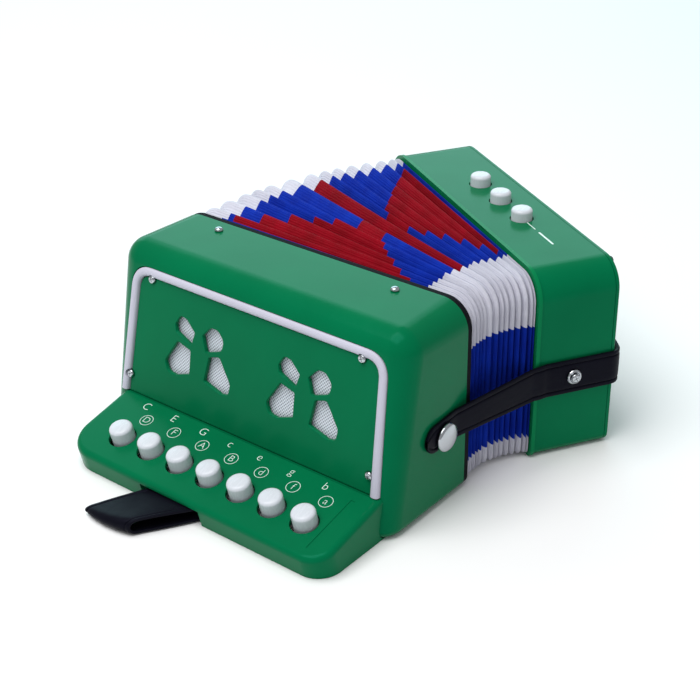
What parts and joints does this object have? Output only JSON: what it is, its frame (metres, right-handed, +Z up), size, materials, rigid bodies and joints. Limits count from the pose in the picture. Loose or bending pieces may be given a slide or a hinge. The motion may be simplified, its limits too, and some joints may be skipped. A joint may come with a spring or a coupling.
{
  "type": "toy button accordion",
  "caption": "Small toy button accordion lying on its back, bellows fanned open, with treble button board, grille, bass buttons, hand strap, thumb loop and snap strap.",
  "frame": {"origin": "centre of the flat back face of the treble casing, which rests on the floor", "axes": "+Z up out of the front face, +X from the treble end towards the bass end, +Y towards the side where the bellows open"},
  "size_m": [0.3021, 0.2155, 0.1048],
  "materials": {
    "green_shell": "high-gloss moulded green plastic",
    "white_button": "glossy white plastic",
    "white_piping": "soft white piping, satin",
    "grille_mesh": "silver-white open mesh cloth",
    "black_leather": "smooth black imitation leather, creased along both edges",
    "polished_chrome": "polished chrome",
    "steel": "bright steel",
    "black_screw": "blackened steel",
    "black_gasket": "matt black foam rubber",
    "reed_wood": "pale unfinished wood",
    "reed_brass": "bright brass",
    "bellows_paper": "cloth-faced card folds in blue, red and white"
  },
  "bodies": {
    "treble": {"treble_casing": "green_shell", "grille_plate": "green_shell", "grille_trim": "white_piping", "grille_cloth": "grille_mesh", "button_board": "green_shell", "plate_screw_1": "polished_chrome", "plate_screw_2": "polished_chrome", "plate_screw_3": "polished_chrome", "plate_screw_4": "polished_chrome", "front_screw_1": "polished_chrome", "front_screw_2": "polished_chrome", "key_rod": "steel", "treble_reed_block": "reed_wood", "treble_reed_plate": "reed_brass", "thumb_strap": "black_leather", "thumb_strap_bar": "steel", "treble_gasket": "black_gasket", "bellows": "bellows_paper", "closing_strap": "black_leather", "snap_stud": "steel", "snap_cap": "polished_chrome"},
    "bass": {"bass_frame": "black_gasket", "bass_casing": "green_shell", "bass_end_plate": "green_shell", "end_screw_1": "black_screw", "end_screw_2": "black_screw", "end_screw_3": "black_screw", "end_screw_4": "black_screw", "bass_valve_plate": "reed_wood", "bass_reed_plate": "reed_brass", "hand_strap": "black_leather", "cup_washer_near": "polished_chrome", "cup_washer_far": "polished_chrome", "strap_screw_near": "polished_chrome", "strap_screw_far": "polished_chrome"},
    "treble_key_1": {"treble_button_1": "white_button", "key_arm_1": "steel"},
    "treble_key_2": {"treble_button_2": "white_button", "key_arm_2": "steel"},
    "treble_key_3": {"treble_button_3": "white_button", "key_arm_3": "steel"},
    "treble_key_4": {"treble_button_4": "white_button", "key_arm_4": "steel"},
    "treble_key_5": {"treble_button_5": "white_button", "key_arm_5": "steel"},
    "treble_key_6": {"treble_button_6": "white_button", "key_arm_6": "steel"},
    "treble_key_7": {"treble_button_7": "white_button", "key_arm_7": "steel"},
    "bass_key_1": {"bass_button_1": "white_button", "bass_valve_1": "white_button"},
    "bass_key_2": {"bass_button_2": "white_button", "bass_valve_2": "white_button"},
    "bass_key_3": {"bass_button_3": "white_button", "bass_valve_3": "white_button"}
  },
  "joints": [
    {"name": "bellows_fan", "type": "hinge", "parent": "treble", "child": "bass", "pos_m": [0.04883, -0.09485, 0], "axis": [0, 0, 1], "range_deg": [-8, 30.5], "deforming": ["bellows", "closing_strap"]},
    {"name": "treble_key_1_press", "type": "hinge", "parent": "treble", "child": "treble_key_1", "pos_m": [-0.024, 0.05445, 0.009], "axis": [0, -1, 0], "range_deg": [0, 5.3], "stiffness_Nm_per_rad": 0.25, "springref_deg": -2.86},
    {"name": "treble_key_2_press", "type": "hinge", "parent": "treble", "child": "treble_key_2", "pos_m": [-0.024, 0.035, 0.009], "axis": [0, -1, 0], "range_deg": [0, 5.3], "stiffness_Nm_per_rad": 0.25, "springref_deg": -2.86},
    {"name": "treble_key_3_press", "type": "hinge", "parent": "treble", "child": "treble_key_3", "pos_m": [-0.024, 0.01555, 0.009], "axis": [0, -1, 0], "range_deg": [0, 5.3], "stiffness_Nm_per_rad": 0.25, "springref_deg": -2.86},
    {"name": "treble_key_4_press", "type": "hinge", "parent": "treble", "child": "treble_key_4", "pos_m": [-0.024, -0.0039, 0.009], "axis": [0, -1, 0], "range_deg": [0, 5.3], "stiffness_Nm_per_rad": 0.25, "springref_deg": -2.86},
    {"name": "treble_key_5_press", "type": "hinge", "parent": "treble", "child": "treble_key_5", "pos_m": [-0.024, -0.02335, 0.009], "axis": [0, -1, 0], "range_deg": [0, 5.3], "stiffness_Nm_per_rad": 0.25, "springref_deg": -2.86},
    {"name": "treble_key_6_press", "type": "hinge", "parent": "treble", "child": "treble_key_6", "pos_m": [-0.024, -0.0428, 0.009], "axis": [0, -1, 0], "range_deg": [0, 5.3], "stiffness_Nm_per_rad": 0.25, "springref_deg": -2.86},
    {"name": "treble_key_7_press", "type": "hinge", "parent": "treble", "child": "treble_key_7", "pos_m": [-0.024, -0.06225, 0.009], "axis": [0, -1, 0], "range_deg": [0, 5.3], "stiffness_Nm_per_rad": 0.25, "springref_deg": -2.86},
    {"name": "bass_key_1_press", "type": "slide", "parent": "bass", "child": "bass_key_1", "axis": [0, 0, -1], "range_m": [0, 0.003], "stiffness_N_per_m": 300, "springref_m": -0.002},
    {"name": "bass_key_2_press", "type": "slide", "parent": "bass", "child": "bass_key_2", "axis": [0, 0, -1], "range_m": [0, 0.003], "stiffness_N_per_m": 300, "springref_m": -0.002},
    {"name": "bass_key_3_press", "type": "slide", "parent": "bass", "child": "bass_key_3", "axis": [0, 0, -1], "range_m": [0, 0.003], "stiffness_N_per_m": 300, "springref_m": -0.002}
  ]
}
